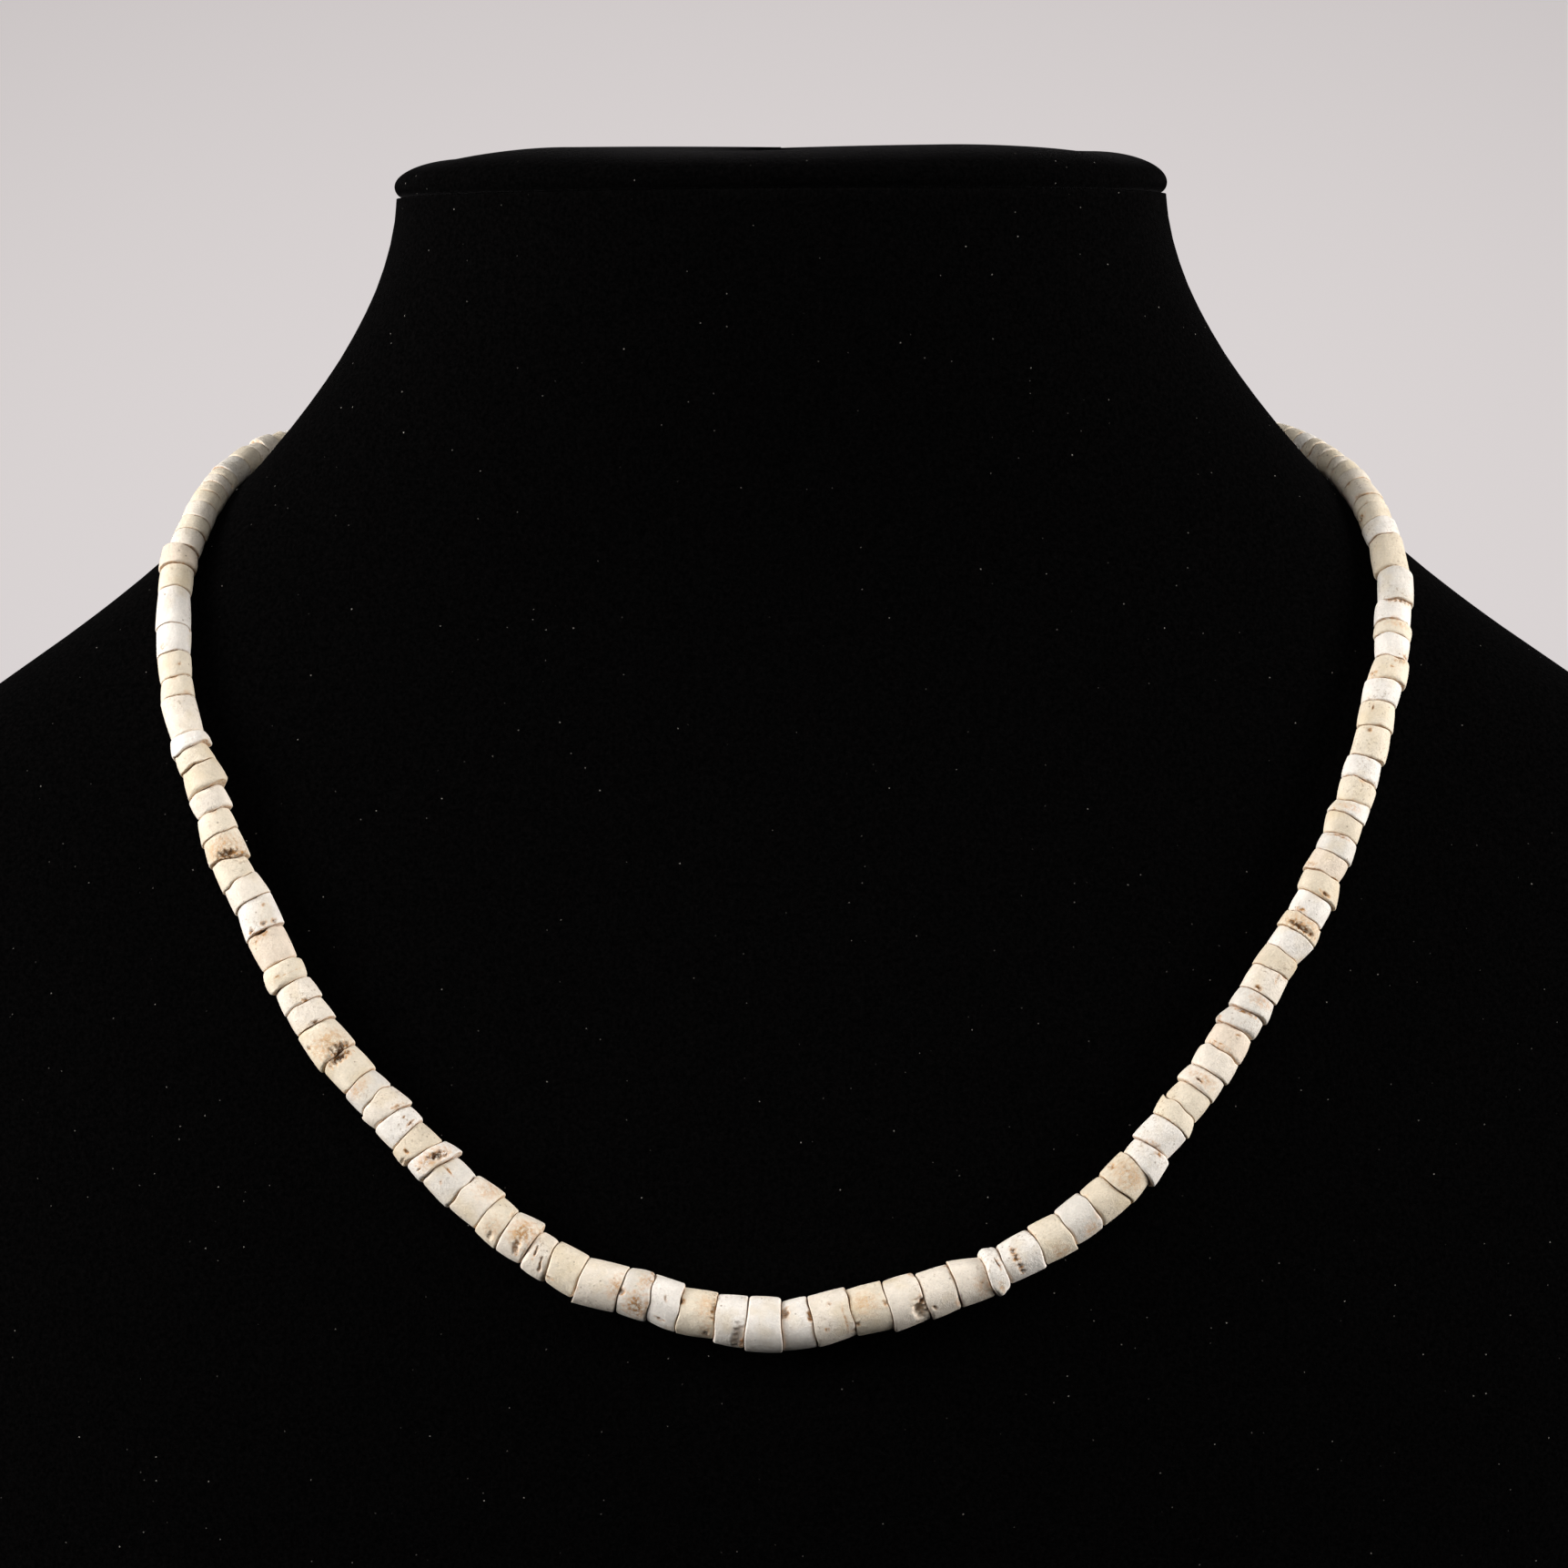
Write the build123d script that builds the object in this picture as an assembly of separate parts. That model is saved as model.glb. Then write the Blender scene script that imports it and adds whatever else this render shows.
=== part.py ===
from build123d import *
import os
from math import cos, pi, radians, sin, tan

# A loop of stone beads, resting on a neck bust that a padded cap closes.
# Millimetres. +X points to the viewer's right, +Y away from the viewer, +Z up.
# The origin is the middle of the bust's foot, on the surface that it stands on.

# The bust, from its foot to the top of its neck
BUST_HEIGHT = 243.0
NECK_WIDTH = 107.2
NECK_DEPTH = 72.0
SHOULDER_WIDTH = 276.0
CHEST_DEPTH = 97.0
FOOT_ROUNDING = 3.0

# The padded cap that closes the neck
CAP_THICKNESS = 5.8
CAP_OVERHANG = 0.5
CAP_ROUNDING = 4.4
CAP_HEM_ROUNDING = 1.0
CAP_SEAT_GAP = 0.1

# The beads: each takes up its length of the string, with the gap to the next
BEAD_LENGTH = 4.0
SHORTEST_BEAD = 0.43
LENGTH_STEP = 0.1
FRONT_BEAD_DIAMETER = 7.2
BACK_BEAD_DIAMETER = 4.2
GIRTH_STEP = 0.03
GRADED_STRING = 180.0
RIM_ROUNDING = 0.05
CROWN = 0.02
BEAD_GAP = 0.14
FRONT_BEAD_OFFSET = -3.4

# The thread and the clasp at the nape
THREAD_DIAMETER = 0.8
BORE_CLEARANCE = 0.4
CLASP_LENGTH = 10.0
CLASP_DIAMETER = 4.0
CLASP_END_DIAMETER = 2.2
CLASP_COLLAR = 1.2
CLASP_BORE_CLEARANCE = 0.15
THREAD_IN_CLASP = 1.6

# How the string lies
REST_GAP = 0.45
STATION_SPACING = 5.0
FIRST_RUN = 2.6
ARC_SHARE = 0.45

# Sections of the bust at even steps of its height, from the foot to the neck's top. Flare
# is 0 at the neck's width and 1 at the shoulders'. Fullness is 0 at the neck's depth and
# 1 at the chest's.
BUST_SECTIONS = [
    # flare, fullness
    (0.763, 0.64),
    (0.818, 0.74),
    (0.876, 0.84),
    (0.918, 0.92),
    (0.953, 0.98),
    (0.981, 1.00),
    (0.996, 0.97),
    (1.000, 0.84),
    (1.000, 0.62),
    (0.999, 0.36),
    (0.961, 0.10),
    (0.801, -0.13),
    (0.549, -0.29),
    (0.328, -0.30),
    (0.163, -0.18),
    (0.048, -0.04),
    (0.000, 0.00),
]

# The string's route, from the left of the clasp round the front to its right. Turn is
# the angle round the bust: 90 is the nape, 180 the left, 270 the front, 360 the right.
STRING_ROUTE = [
    # turn, height as a share of the bust's
    (104.2, 0.8819),
    (116.4, 0.8819),
    (130.7, 0.8758),
    (144.7, 0.8653),
    (156.4, 0.8582),
    (165.1, 0.8518),
    (171.9, 0.8457),
    (180.0, 0.8358),
    (189.0, 0.8197),
    (196.0, 0.8038),
    (201.2, 0.7903),
    (206.3, 0.7754),
    (211.9, 0.7577),
    (217.9, 0.7352),
    (223.1, 0.7131),
    (228.9, 0.6834),
    (233.3, 0.6490),
    (236.9, 0.6124),
    (239.8, 0.5728),
    (242.9, 0.5279),
    (246.8, 0.4855),
    (251.0, 0.4470),
    (255.9, 0.4085),
    (260.4, 0.3890),
    (265.0, 0.3757),
    (269.0, 0.3691),
    (273.3, 0.3752),
    (278.5, 0.3872),
    (283.5, 0.4073),
    (288.1, 0.4373),
    (291.7, 0.4742),
    (294.8, 0.5110),
    (298.1, 0.5541),
    (301.5, 0.5959),
    (305.5, 0.6425),
    (310.4, 0.6816),
    (317.2, 0.7160),
    (323.4, 0.7404),
    (330.7, 0.7655),
    (337.7, 0.7855),
    (346.0, 0.8062),
    (354.5, 0.8234),
    (363.0, 0.8371),
    (370.9, 0.8477),
    (381.6, 0.8578),
    (395.3, 0.8663),
    (409.3, 0.8758),
    (423.6, 0.8819),
    (435.8, 0.8819),
]

# The beads in order, charted outwards from the biggest at the front. A letter is a
# bead's length: a is the shortest, and each letter after it a step longer. The figure
# below it is its girth: 5 is the graded size, and each figure after it a step stouter.
# The beads past the charts, at the nape, repeat a few lengths and have the graded girth.
FRONT_BEAD = ("i", "7")
LEFT_LENGTHS = "giggkhegehhdeeeehjeeeiheefeefcbkdfglfedcdbbaage"
LEFT_GIRTHS = "42344224343644533544635536458583224459555555555"
RIGHT_LENGTHS = "gjiihhcjhhggegcedefddfdeceedddbeehfefebejlddafbcabca"
RIGHT_GIRTHS = "4545425122244342454454446464545454567487777666765455"
NAPE_LENGTHS = "cdbcddcbdc"

# The larger chips, scooped out of the beads. Bead counts outwards from the biggest one,
# which is 0. Turn is the angle round the bead from its front towards the string's outer
# edge. Along is a share of the bead's length from its middle, to the right at the front.
# Width and depth are shares of its diameter.
CHIPS = [
    # side, bead, turn, along, width, depth
    ("left", 2, -32, 0.42, 0.22, 0.08),
    ("left", 7, 25, 0.36, 0.22, 0.08),
    ("left", 8, 30, 0.22, 0.26, 0.07),
    ("left", 9, 40, 0.20, 0.30, 0.05),
    ("left", 12, -25, 0.28, 0.36, 0.10),
    ("left", 18, -22, 0.50, 0.52, 0.18),
    ("left", 26, 2, 0.42, 0.46, 0.12),
    ("right", 1, -38, -0.38, 0.24, 0.10),
    ("right", 4, 29, 0.32, 0.46, 0.14),
    ("right", 8, -20, -0.14, 0.20, 0.06),
    ("right", 8, 20, -0.12, 0.20, 0.06),
    ("right", 17, -14, -0.20, 0.18, 0.08),
    ("right", 25, 2, -0.26, 0.50, 0.13),
]


def share_between(low, high, share):
    """The value at a share of the way from low to high."""
    return low + (high - low) * share


def section_at(height):
    """The bust's half width and half depth at a share of its height."""
    place = height * (len(BUST_SECTIONS) - 1)
    below = min(int(place), len(BUST_SECTIONS) - 2)
    flare, fullness = (
        share_between(low, high, place - below)
        for low, high in zip(BUST_SECTIONS[below], BUST_SECTIONS[below + 1])
    )
    return (
        share_between(NECK_WIDTH, SHOULDER_WIDTH, flare) / 2,
        share_between(NECK_DEPTH, CHEST_DEPTH, fullness) / 2,
    )


def make_bust():
    """The bust: ellipses lofted from the foot to the neck, with a rounded foot."""
    steps = len(BUST_SECTIONS) - 1
    sections = []
    for step in range(steps + 1):
        half_width, half_depth = section_at(step / steps)
        sections.append(Plane.XY.offset(BUST_HEIGHT * step / steps) * Ellipse(half_width, half_depth))
    bust = loft(sections)
    foot = bust.edges().sort_by(Axis.Z)[0]
    return fillet(foot, FOOT_ROUNDING)


def make_cap():
    """The cap: a disc of the neck's outline that stands proud of it, rounded at both edges."""
    outline = Ellipse(NECK_WIDTH / 2 + CAP_OVERHANG, NECK_DEPTH / 2 + CAP_OVERHANG)
    cap = Pos(0, 0, BUST_HEIGHT + CAP_SEAT_GAP) * extrude(outline, CAP_THICKNESS)
    rims = cap.edges().sort_by(Axis.Z)
    hem_rounding = min(CAP_HEM_ROUNDING, CAP_THICKNESS / 4)
    cap = fillet(rims[0], hem_rounding)
    crown_rounding = min(CAP_ROUNDING, CAP_THICKNESS - 1.5 * hem_rounding)
    return fillet(cap.edges().sort_by(Axis.Z)[-1], crown_rounding)


def graded_diameter(from_front):
    """The even bead's diameter at a distance along the string from the front."""
    share = min(abs(from_front) / GRADED_STRING, 1)
    return share_between(FRONT_BEAD_DIAMETER, BACK_BEAD_DIAMETER, share)


def settle(bust, point, lift):
    """The point moved along the bust's surface normal until it lies lift away from it."""
    _, on_bust, _ = bust.shell().distance_to_with_closest_points(point)
    outward = (point - on_bust).normalized()
    if bust.is_inside(point):
        outward = -outward
    return on_bust + outward * lift


def lengths_along(points):
    """Each point's distance along the runs between the points."""
    distances = [0.0]
    for a, b in zip(points, points[1:]):
        distances.append(distances[-1] + (b - a).length)
    return distances


def settle_all(bust, points):
    """The points settled at the height of the beads' axis there."""
    distances = lengths_along(points)
    front = distances[min(range(len(points)), key=lambda i: points[i].Z)]
    return [
        settle(bust, point, graded_diameter(distance - front) / 2 + REST_GAP)
        for point, distance in zip(points, distances)
    ]


def clasp_centre(bust):
    """The middle of the clasp, at the nape, level with the route's ends."""
    _, half_depth = section_at(STRING_ROUTE[0][1])
    nape = Vector(0, half_depth + CLASP_DIAMETER, STRING_ROUTE[0][1] * BUST_HEIGHT)
    return settle(bust, nape, CLASP_DIAMETER / 2 + REST_GAP)


def string_path(bust):
    """The string's line: short runs joined by arcs, from the clasp's left to its right."""
    guide = []
    for turn, height in STRING_ROUTE:
        half_width, half_depth = section_at(height)
        x = half_width * cos(radians(turn))
        y = half_depth * sin(radians(turn))
        guide.append(Vector(x, y, height * BUST_HEIGHT))
    line = Spline(settle_all(bust, guide))
    count = round(line.length / STATION_SPACING)
    stations = settle_all(bust, [line @ (i / count) for i in range(count + 1)])

    centre = clasp_centre(bust)
    inside = Vector(CLASP_LENGTH / 2 - THREAD_IN_CLASP, 0, 0)
    outside = Vector(CLASP_LENGTH / 2 + FIRST_RUN, 0, 0)
    stations = [centre - inside, centre - outside] + stations + [centre + outside, centre + inside]

    radii = []
    for before, here, after in zip(stations, stations[1:], stations[2:]):
        first, second = here - before, after - here
        half_turn = radians(first.get_angle(second)) / 2
        radii.append(ARC_SHARE * min(first.length, second.length) / tan(half_turn))
    return FilletPolyline(stations, radius=radii)


def place_on(path, distance):
    """The frame at a distance along the path: Z along it, X as far to the front as can be."""
    here = path.position_at(distance, position_mode=PositionMode.LENGTH)
    along = path.tangent_at(distance, position_mode=PositionMode.LENGTH)
    front = Vector(0, -1, 0)
    return Plane(here, x_dir=front - along * front.dot(along), z_dir=along)


def front_distance(path):
    """How far along the path the biggest bead's middle lies."""
    low, high = path.length / 4, path.length * 3 / 4
    while high - low > 0.001:
        middle = (low + high) / 2
        if path.position_at(middle, position_mode=PositionMode.LENGTH).X < FRONT_BEAD_OFFSET:
            low = middle
        else:
            high = middle
    return low


def bead_pitch(letter):
    """The length of string that a bead of this letter takes up."""
    return BEAD_LENGTH * (SHORTEST_BEAD + LENGTH_STEP * "abcdefghijkl".index(letter))


def girth_share(figure):
    """A bead's diameter as a share of the graded one."""
    return 1 + GIRTH_STEP * (int(figure) - 5)


def make_bead(length, diameter):
    """A bead on the Z axis: a drilled drum with a slight crown and rounded rims."""
    bore = THREAD_DIAMETER / 2 + BORE_CLEARANCE
    half = length / 2
    side = diameter / 2 - CROWN * length
    rounding = min(RIM_ROUNDING * diameter, 0.3 * length)
    corner = rounding * (1 - cos(pi / 4))
    with BuildPart() as bead:
        with BuildSketch(Plane.XZ):
            with BuildLine():
                Polyline((side - rounding, half), (bore, half), (bore, -half), (side - rounding, -half))
                ThreePointArc((side - rounding, -half), (side - corner, -half + corner), (side, rounding - half))
                ThreePointArc((side, rounding - half), (diameter / 2, 0), (side, half - rounding))
                ThreePointArc((side, half - rounding), (side - corner, half - corner), (side - rounding, half))
            make_face()
        revolve(axis=Axis.Z)
    return bead.part


def chip(bead, length, diameter, side, number):
    """The bead with its charted chips scooped out, each by a ball."""
    for chip_side, chip_bead, turn, along, width, depth in CHIPS:
        if (chip_side, chip_bead) != (side, number):
            continue
        half_width, scoop = width * diameter / 2, depth * diameter
        ball = (half_width**2 + scoop**2) / (2 * scoop)
        out = diameter / 2 - scoop + ball
        x, y = out * cos(radians(turn)), out * sin(radians(turn))
        bead -= Pos(x, y, along * length) * Sphere(ball)
    return bead


def bead_on(path, distance, pitch, diameter, side, number):
    """A bead placed on the path, short enough to clear its neighbours on the bend."""
    before = path.tangent_at(distance - pitch / 2, position_mode=PositionMode.LENGTH)
    after = path.tangent_at(distance + pitch / 2, position_mode=PositionMode.LENGTH)
    half_turn = radians(before.get_angle(after)) / 2
    gap = BEAD_GAP + diameter * tan(half_turn)
    length = pitch - gap
    bead = chip(make_bead(length, diameter), length, diameter, side, number)
    return place_on(path, distance).location * bead


def string_beads(path, side, front, lengths, girths):
    """One side's beads, outwards from the front until there is no room before the clasp."""
    direction, room = (-1, front) if side == "left" else (1, path.length - front)
    room -= THREAD_IN_CLASP + BEAD_GAP
    beads = []
    travelled = bead_pitch(FRONT_BEAD[0]) / 2
    while True:
        place = len(beads)
        if place < len(lengths):
            letter, girth = lengths[place], girth_share(girths[place])
        else:
            letter, girth = NAPE_LENGTHS[place % len(NAPE_LENGTHS)], 1
        pitch = bead_pitch(letter)
        if travelled + pitch > room:
            return beads
        middle = travelled + pitch / 2
        diameter = graded_diameter(middle) * girth
        beads.append(bead_on(path, front + direction * middle, pitch, diameter, side, place + 1))
        travelled += pitch


def make_clasp(bust):
    """The clasp: a barrel with tapered shoulders, bored at each end for the thread."""
    half = CLASP_LENGTH / 2
    radius, end_radius = CLASP_DIAMETER / 2, CLASP_END_DIAMETER / 2
    with BuildPart() as clasp:
        with BuildSketch(Plane.XZ):
            Polygon(
                (0, -half),
                (end_radius, -half),
                (end_radius, CLASP_COLLAR - half),
                (radius, 2 * CLASP_COLLAR - half),
                (radius, half - 2 * CLASP_COLLAR),
                (end_radius, half - CLASP_COLLAR),
                (end_radius, half),
                (0, half),
                align=None,
            )
        revolve(axis=Axis.Z)
        bore = THREAD_DIAMETER / 2 + CLASP_BORE_CLEARANCE
        with Locations((0, 0, -half), (0, 0, half)):
            Cylinder(bore, 2 * (THREAD_IN_CLASP + CLASP_BORE_CLEARANCE), mode=Mode.SUBTRACT)
    return Pos(clasp_centre(bust)) * Rot(0, 90, 0) * clasp.part


def make_thread(path):
    """The thread: a round section swept along the string's line."""
    return sweep(place_on(path, 0) * Circle(THREAD_DIAMETER / 2), path=path)


bust = make_bust()
path = string_path(bust)
front = front_distance(path)
front_diameter = FRONT_BEAD_DIAMETER * girth_share(FRONT_BEAD[1])
front_bead = bead_on(path, front, bead_pitch(FRONT_BEAD[0]), front_diameter, "left", 0)
left = string_beads(path, "left", front, LEFT_LENGTHS, LEFT_GIRTHS)
right = string_beads(path, "right", front, RIGHT_LENGTHS, RIGHT_GIRTHS)
thread = make_thread(path)

nodes = {
    "bust_form": bust,
    "neck_cap": make_cap(),
    "beads_left": Compound(children=[front_bead] + left),
    "beads_right": Compound(children=right),
    "thread": thread,
    "clasp": make_clasp(bust),
}
os.makedirs("parts", exist_ok=True)
for name, shape in nodes.items():
    export_step(shape, f"parts/{name}.step")

section_area = pi * THREAD_DIAMETER**2 / 4
print("string", round(path.length, 1), "mm with", len(left) + len(right) + 1, "beads")
print("thread volume over section times length", round(thread.volume / section_area / path.length, 4))
bead_volume = sum(bead.volume for bead in [front_bead] + left + right)
print("bust volume", round(bust.volume), "bead volume", round(bead_volume))
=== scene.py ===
# %% [markdown]
# # A loop of stone beads on a velvet neck bust
#
# The real object is a string of hand-made stone beads, small drums that were cut, drilled and
# ground round by eye. It lies on a display bust covered in black velvet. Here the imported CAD
# model gives every place and size, and Blender adds what a hand leaves: no two beads alike,
# chips, soil in the pits, and the deep black pile that makes the pale stone stand out.

import bmesh
import bpy
import numpy as np
from mathutils import Euler, Matrix, Vector


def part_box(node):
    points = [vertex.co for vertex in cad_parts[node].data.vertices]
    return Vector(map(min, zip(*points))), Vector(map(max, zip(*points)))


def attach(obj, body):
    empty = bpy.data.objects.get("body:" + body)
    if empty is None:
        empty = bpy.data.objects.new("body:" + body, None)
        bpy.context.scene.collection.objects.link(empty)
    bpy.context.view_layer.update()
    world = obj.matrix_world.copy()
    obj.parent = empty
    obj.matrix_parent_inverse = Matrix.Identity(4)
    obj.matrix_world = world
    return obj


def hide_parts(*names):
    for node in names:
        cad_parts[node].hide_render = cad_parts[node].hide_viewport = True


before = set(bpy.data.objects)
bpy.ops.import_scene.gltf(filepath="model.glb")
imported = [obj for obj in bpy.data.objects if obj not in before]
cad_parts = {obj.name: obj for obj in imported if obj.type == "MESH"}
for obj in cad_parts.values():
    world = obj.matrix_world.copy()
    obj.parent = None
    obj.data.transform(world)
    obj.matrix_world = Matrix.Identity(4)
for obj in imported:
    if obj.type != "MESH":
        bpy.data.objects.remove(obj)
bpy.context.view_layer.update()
MM = 0.001
luck = np.random.default_rng(23)
print("pieces of the model:", ", ".join(sorted(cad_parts)))

# %% [markdown]
# ## Helpers for materials
#
# A material is a small graph of nodes. One function gives inputs to a node, each a value or
# something to be linked, and one adds a node, whose settings are keywords. Colours are written
# as sRGB hex and turned to the linear light that Blender mixes.

# %% Helpers for colours and nodes


def linear(hex_colour):
    """The linear colour of an sRGB hex: c / 12.92 below 0.04, else ((c + 0.055) / 1.055) ^ 2.4."""
    channels = np.array([int(hex_colour[i:i + 2], 16) for i in (1, 3, 5)]) / 255
    light = np.where(channels <= 0.04045, channels / 12.92, ((channels + 0.055) / 1.055) ** 2.4)
    return (*(float(c) for c in light), 1.0)


# The colour sockets of a Mix node, by number
MIX_FACTOR, MIX_A, MIX_B, MIX_RESULT = 0, 6, 7, 2


def give(tree, node, inputs):
    """Sets each input to its value, or links it to an output, or to another node's main output."""
    for socket, value in inputs.items():
        if isinstance(value, bpy.types.Node):
            value = value.outputs[MIX_RESULT if value.type == "MIX" else 0]
        if isinstance(value, bpy.types.NodeSocket):
            tree.links.new(value, node.inputs[socket])
        else:
            node.inputs[socket].default_value = value


def add_node(tree, kind, inputs=None, **settings):
    """Adds a node of a kind with its settings and its inputs."""
    node = tree.nodes.new("ShaderNode" + kind)
    for name, value in settings.items():
        setattr(node, name, value)
    give(tree, node, inputs or {})
    return node


def new_material(name):
    """A material, its tree of nodes, its shader and each point's place on the object in metres."""
    material = bpy.data.materials.new(name)
    material.use_nodes = True
    tree = material.node_tree
    place = add_node(tree, "TexCoord").outputs["Object"]
    return material, tree, tree.nodes["Principled BSDF"], place


def per_mm(size):
    """The scale of a texture whose grain is this many millimetres, as the scene is in metres."""
    return 1 / (size * MM)


print("pale stone in linear light:", [round(c, 3) for c in linear("#E4DFD6")[:3]])

# %% [markdown]
# ## A mesh from a grid
#
# Nearly every piece is a surface that closes on itself both ways, like the skin of a ring, or
# one way with its ends drawn to a point. It is worked out as whole arrays of places, rows by
# columns, whose squares become faces. That is faster than adding points one at a time.

# %% A mesh from grids of places


def grid_mesh(name, grids, closed_rows=False, attributes=None):
    """A piece from grids of places, stacked as grid, row, column and x, y, z in metres.

    The columns close into a ring, and the rows too if that is asked. If not, a skin closes
    when its first and last row are each drawn to a point and welded.
    """
    count, rows, columns, _ = grids.shape
    first_rows = np.arange(rows if closed_rows else rows - 1)
    row, column = np.meshgrid(first_rows, np.arange(columns), indexing="ij")
    next_row, next_column = (row + 1) % rows, (column + 1) % columns
    corners = np.stack([
        row * columns + column,
        next_row * columns + column,
        next_row * columns + next_column,
        row * columns + next_column,
    ], axis=-1).reshape(-1, 4)
    faces = (corners[None] + (np.arange(count) * rows * columns)[:, None, None]).reshape(-1, 4)
    mesh = bpy.data.meshes.new(name)
    mesh.vertices.add(count * rows * columns)
    mesh.vertices.foreach_set("co", grids.astype(np.float32).ravel())
    mesh.loops.add(faces.size)
    mesh.loops.foreach_set("vertex_index", faces.ravel().astype(np.int32))
    mesh.polygons.add(len(faces))
    mesh.polygons.foreach_set("loop_start", np.arange(0, faces.size, 4, dtype=np.int32))
    mesh.update(calc_edges=True)
    for key, values in (attributes or {}).items():
        kind = "FLOAT_COLOR" if values.shape[-1] == 4 else "FLOAT"
        layer = mesh.attributes.new(key, kind, "POINT")
        layer.data.foreach_set("color" if kind == "FLOAT_COLOR" else "value", values.ravel())
    mesh.polygons.foreach_set("use_smooth", np.ones(len(mesh.polygons), dtype=bool))
    piece = bpy.data.objects.new(name, mesh)
    bpy.context.scene.collection.objects.link(piece)
    return piece


def ring_angles(columns):
    """Angles spread evenly round a ring, one for each column."""
    return np.linspace(0, 2 * np.pi, columns, endpoint=False)


def carried_round(reach_x, reach_y, height, angle):
    """Rows carried round an upright axis as ellipses: reach_x * cos, reach_y * sin and height."""
    sides = np.broadcast_arrays(reach_x * np.cos(angle), reach_y * np.sin(angle), height)
    return np.stack(sides, axis=-1)


def finish_piece(piece, material, node):
    """Gives a piece its finish, and puts it on the body in its node's stead."""
    piece.data.materials.append(material)
    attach(piece, "root")
    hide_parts(node)
    print(piece.name, "has", sum(len(face.vertices) - 2 for face in piece.data.polygons), "triangles")


# %% [markdown]
# ## Where the beads are
#
# The model holds 161 beads as bare triangles. Their places are read from it, so nothing here
# can drift from the measured string. Points at one place are welded, each bead's points get
# one number by passing the lowest on through shared triangles, and its middle, length and
# radius follow from them.

# %% Read the beads from the model
WELD = 1e-6


def welded(piece):
    """A mesh's places with doubles merged, and its triangles as rows of three places."""
    mesh = piece.data
    places = np.empty(len(mesh.vertices) * 3)
    mesh.vertices.foreach_get("co", places)
    corners = np.empty(len(mesh.loops), dtype=np.int64)
    mesh.loops.foreach_get("vertex_index", corners)
    in_steps = np.round(places.reshape(-1, 3) / WELD).astype(np.int64)
    kept, index = np.unique(in_steps, axis=0, return_inverse=True)
    return kept * WELD, index.ravel()[corners].reshape(-1, 3)


def bead_numbers(count, triangles):
    """Each place's bead: places take the lowest number in their triangles until none changes."""
    number = np.arange(count)
    while True:
        before = number.copy()
        np.minimum.at(number, triangles, number[triangles].min(axis=1)[:, None])
        number = number[number]
        if (number == before).all():
            return np.unique(number, return_inverse=True)[1].ravel()


def unit(vectors):
    """Each row at length 1."""
    return vectors / np.linalg.norm(vectors, axis=-1, keepdims=True)


def dot(a, b):
    """The dot products along the last axis, which is kept."""
    return (a * b).sum(axis=-1, keepdims=True)


left_places, left_triangles = welded(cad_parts["beads_left"])
right_places, right_triangles = welded(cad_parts["beads_right"])
places = np.concatenate([left_places, right_places])
triangles = np.concatenate([left_triangles, right_triangles + len(left_places)])
number = bead_numbers(len(places), triangles)
bead_count = number.max() + 1

# A closed skin's middle: the sum of its triangles' cones to the origin, each by its volume
a, b, c = (places[triangles[:, i]] for i in range(3))
cone = dot(a, np.cross(b, c)) / 6
bead_of_cone = number[triangles[:, 0]]
weights = np.concatenate([cone, cone * (a + b + c) / 4], axis=1)
sums = np.stack([np.bincount(bead_of_cone, column) for column in weights.T], axis=1)
middle = sums[:, 1:] / sums[:, :1]

# The string's order: by the turn round the bust from the nape, left, front, right
turn = np.degrees(np.arctan2(middle[:, 1], middle[:, 0]))
order = np.argsort(np.where(turn < 90, turn + 360, turn))
rank = np.argsort(order)
middle, number = middle[order], rank[number]
print("beads read:", bead_count)

# %% [markdown]
# A bead's own direction is that of the string where it lies, taken from its neighbours'
# middles. How far its points reach along that gives its length, and how far they stand off it
# gives its radius.

# %% Measure each bead along the string
clasp_low, clasp_high = (np.array(corner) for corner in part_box("clasp"))
clasp_middle = (clasp_low + clasp_high) / 2
ring = np.concatenate([clasp_middle[None], middle, clasp_middle[None]])
along = unit(ring[2:] - ring[:-2])

from_middle = places - middle[number]
depth = dot(from_middle, along[number])[:, 0]
reach = np.linalg.norm(from_middle - depth[:, None] * along[number], axis=1)
ahead, behind, radius = np.zeros((3, bead_count))
np.maximum.at(ahead, number, depth)
np.minimum.at(behind, number, depth)
np.maximum.at(radius, number, reach)
middle = middle + along * ((ahead + behind) / 2)[:, None]
length = ahead - behind
front = int(radius.argmax())

# Each bead's own directions: along the string, to the viewer, and to the loop's outer edge
to_viewer = np.array([0.0, -1.0, 0.0])
facing = unit(to_viewer - dot(along, to_viewer) * along)
outward = np.cross(along, facing)
print("front bead", front, "radius", round(radius[front] / MM, 2), "mm, lengths",
      round(length.min() / MM, 2), "to", round(length.max() / MM, 2), "mm")

# %% [markdown]
# ## The charts: how each bead sits
#
# The beads that show were looked at one by one. A figure stands for each, counted outwards
# from the biggest bead at the front: 5 is none, and each figure up or down is one step. The
# charts say how far a bead lies to the loop's outer edge, how it tilts, how it tapers, and how
# the seam beyond it leans. A seeded draw gives the unseen beads at the nape a little of each.

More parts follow.
